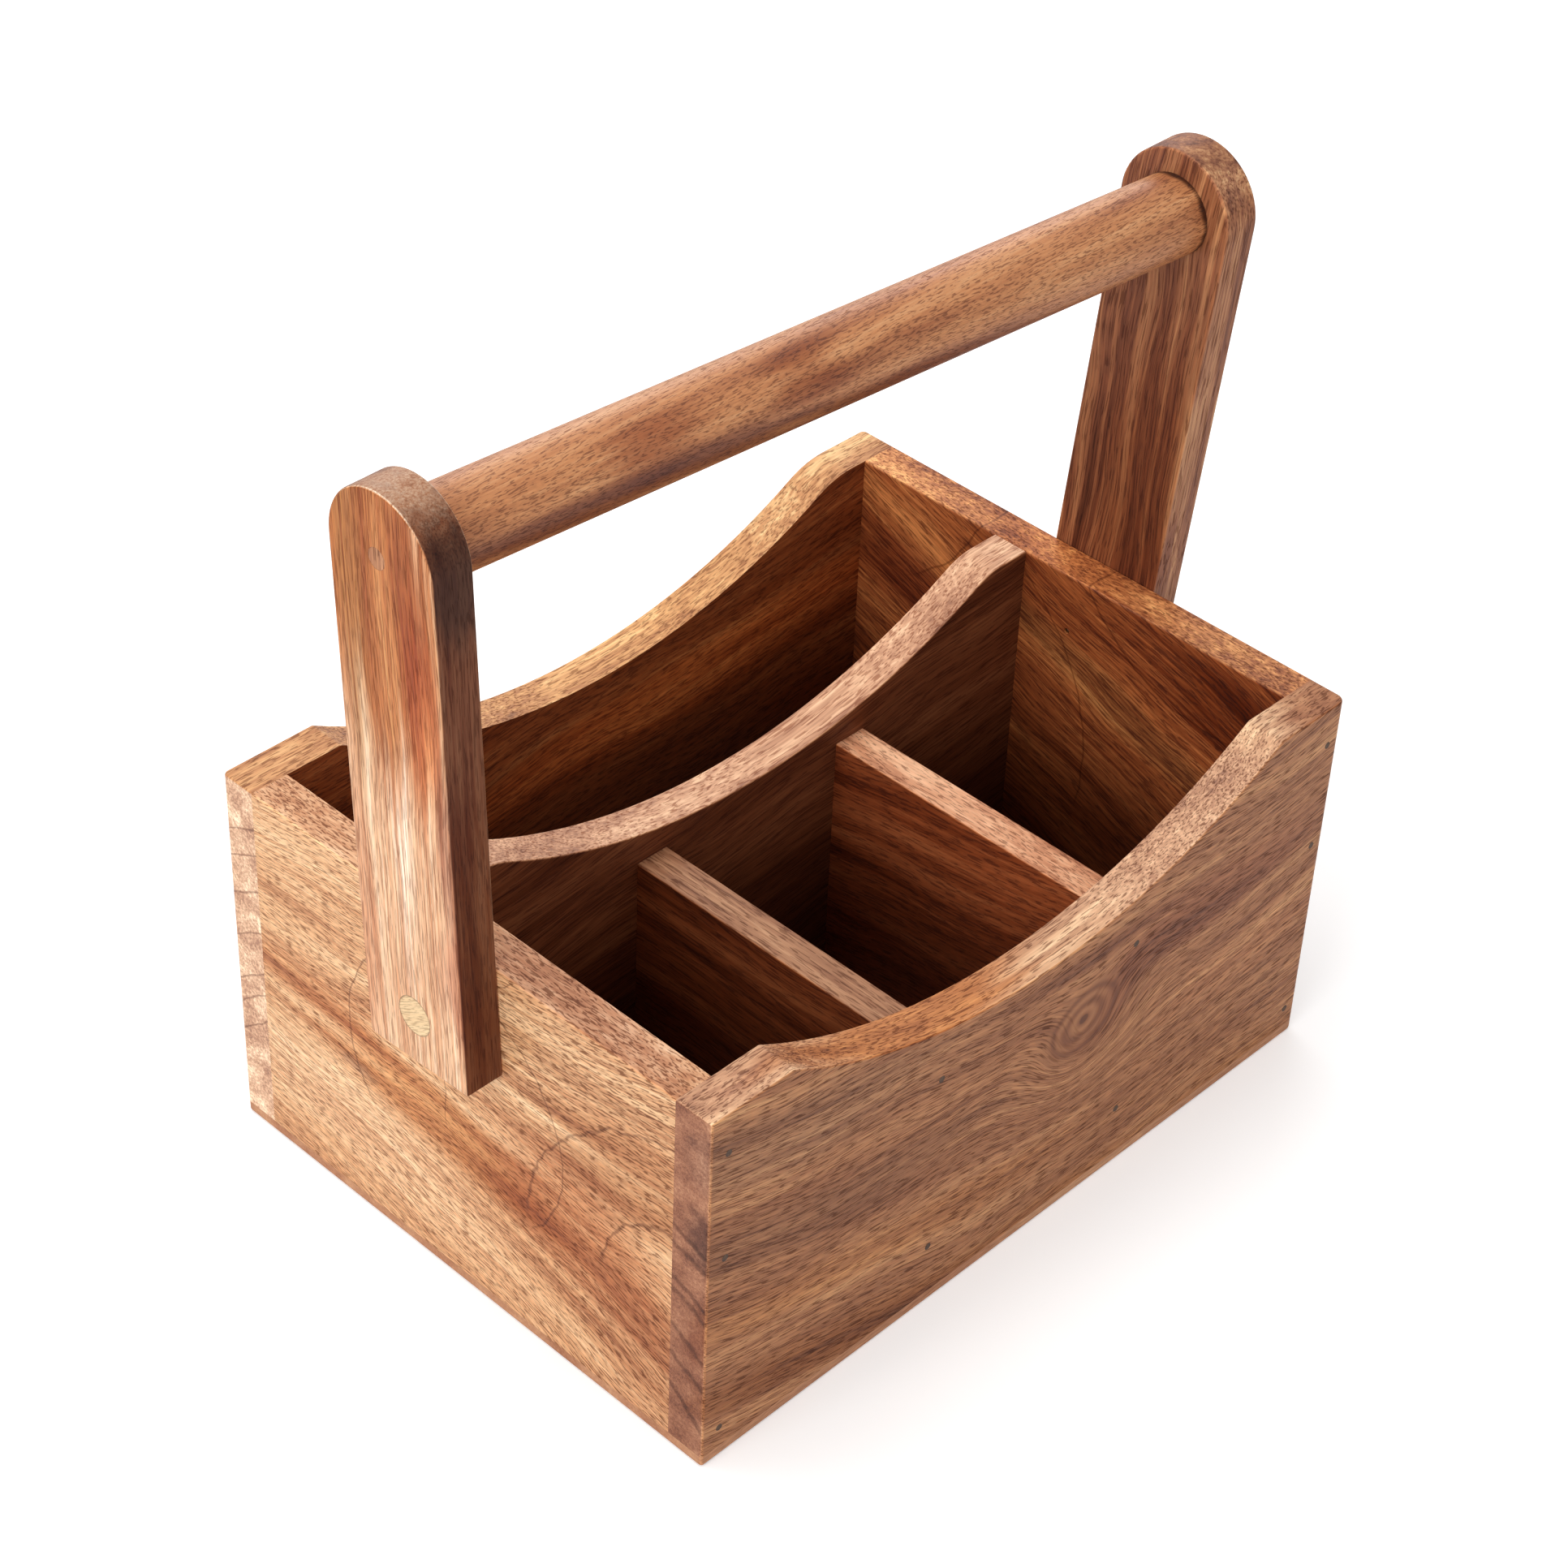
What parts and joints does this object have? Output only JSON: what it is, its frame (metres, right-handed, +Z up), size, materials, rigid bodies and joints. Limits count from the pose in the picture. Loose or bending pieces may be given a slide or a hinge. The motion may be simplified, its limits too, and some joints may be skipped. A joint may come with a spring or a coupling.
{
  "type": "condiment caddy",
  "caption": "Open wooden table caddy with scooped walls, a long rear compartment, divided front compartments and a round grip held by two side posts.",
  "frame": {"origin": "on the rest plane, under the middle of the box", "axes": "+X along the long walls and the grip, to the right end; +Y to the back wall; +Z up"},
  "size_m": [0.2796, 0.19, 0.2673],
  "materials": {
    "base_board": "satin",
    "wood_front": "satin, oiled",
    "wood_end": "satin, oiled",
    "wood_divider": "satin, oiled",
    "wood_handle": "satin, oiled",
    "pale_plug": "satin, oiled",
    "wood_peg": "satin",
    "screw_steel": "zinc plated",
    "brad_steel": "plain steel",
    "filler": "matt wood filler"
  },
  "bodies": {
    "root": {"base_panel": "base_board", "front_wall": "wood_front", "back_wall": "wood_front", "left_end_wall": "wood_end", "right_end_wall": "wood_end", "centre_divider": "wood_divider", "left_cross_divider": "wood_divider", "right_cross_divider": "wood_divider", "left_post": "wood_handle", "right_post": "wood_handle", "grip_dowel": "wood_handle", "left_foot_plug": "pale_plug", "right_foot_plug": "pale_plug", "left_grip_peg": "wood_peg", "right_grip_peg": "wood_peg", "left_foot_screw": "screw_steel", "right_foot_screw": "screw_steel", "front_corner_brads": "brad_steel", "back_corner_brads": "brad_steel", "front_cross_brads": "brad_steel", "rear_cross_brads": "brad_steel", "base_brads": "brad_steel", "front_wall_fillers": "filler", "back_wall_fillers": "filler", "centre_divider_fillers": "filler"}
  },
  "joints": []
}
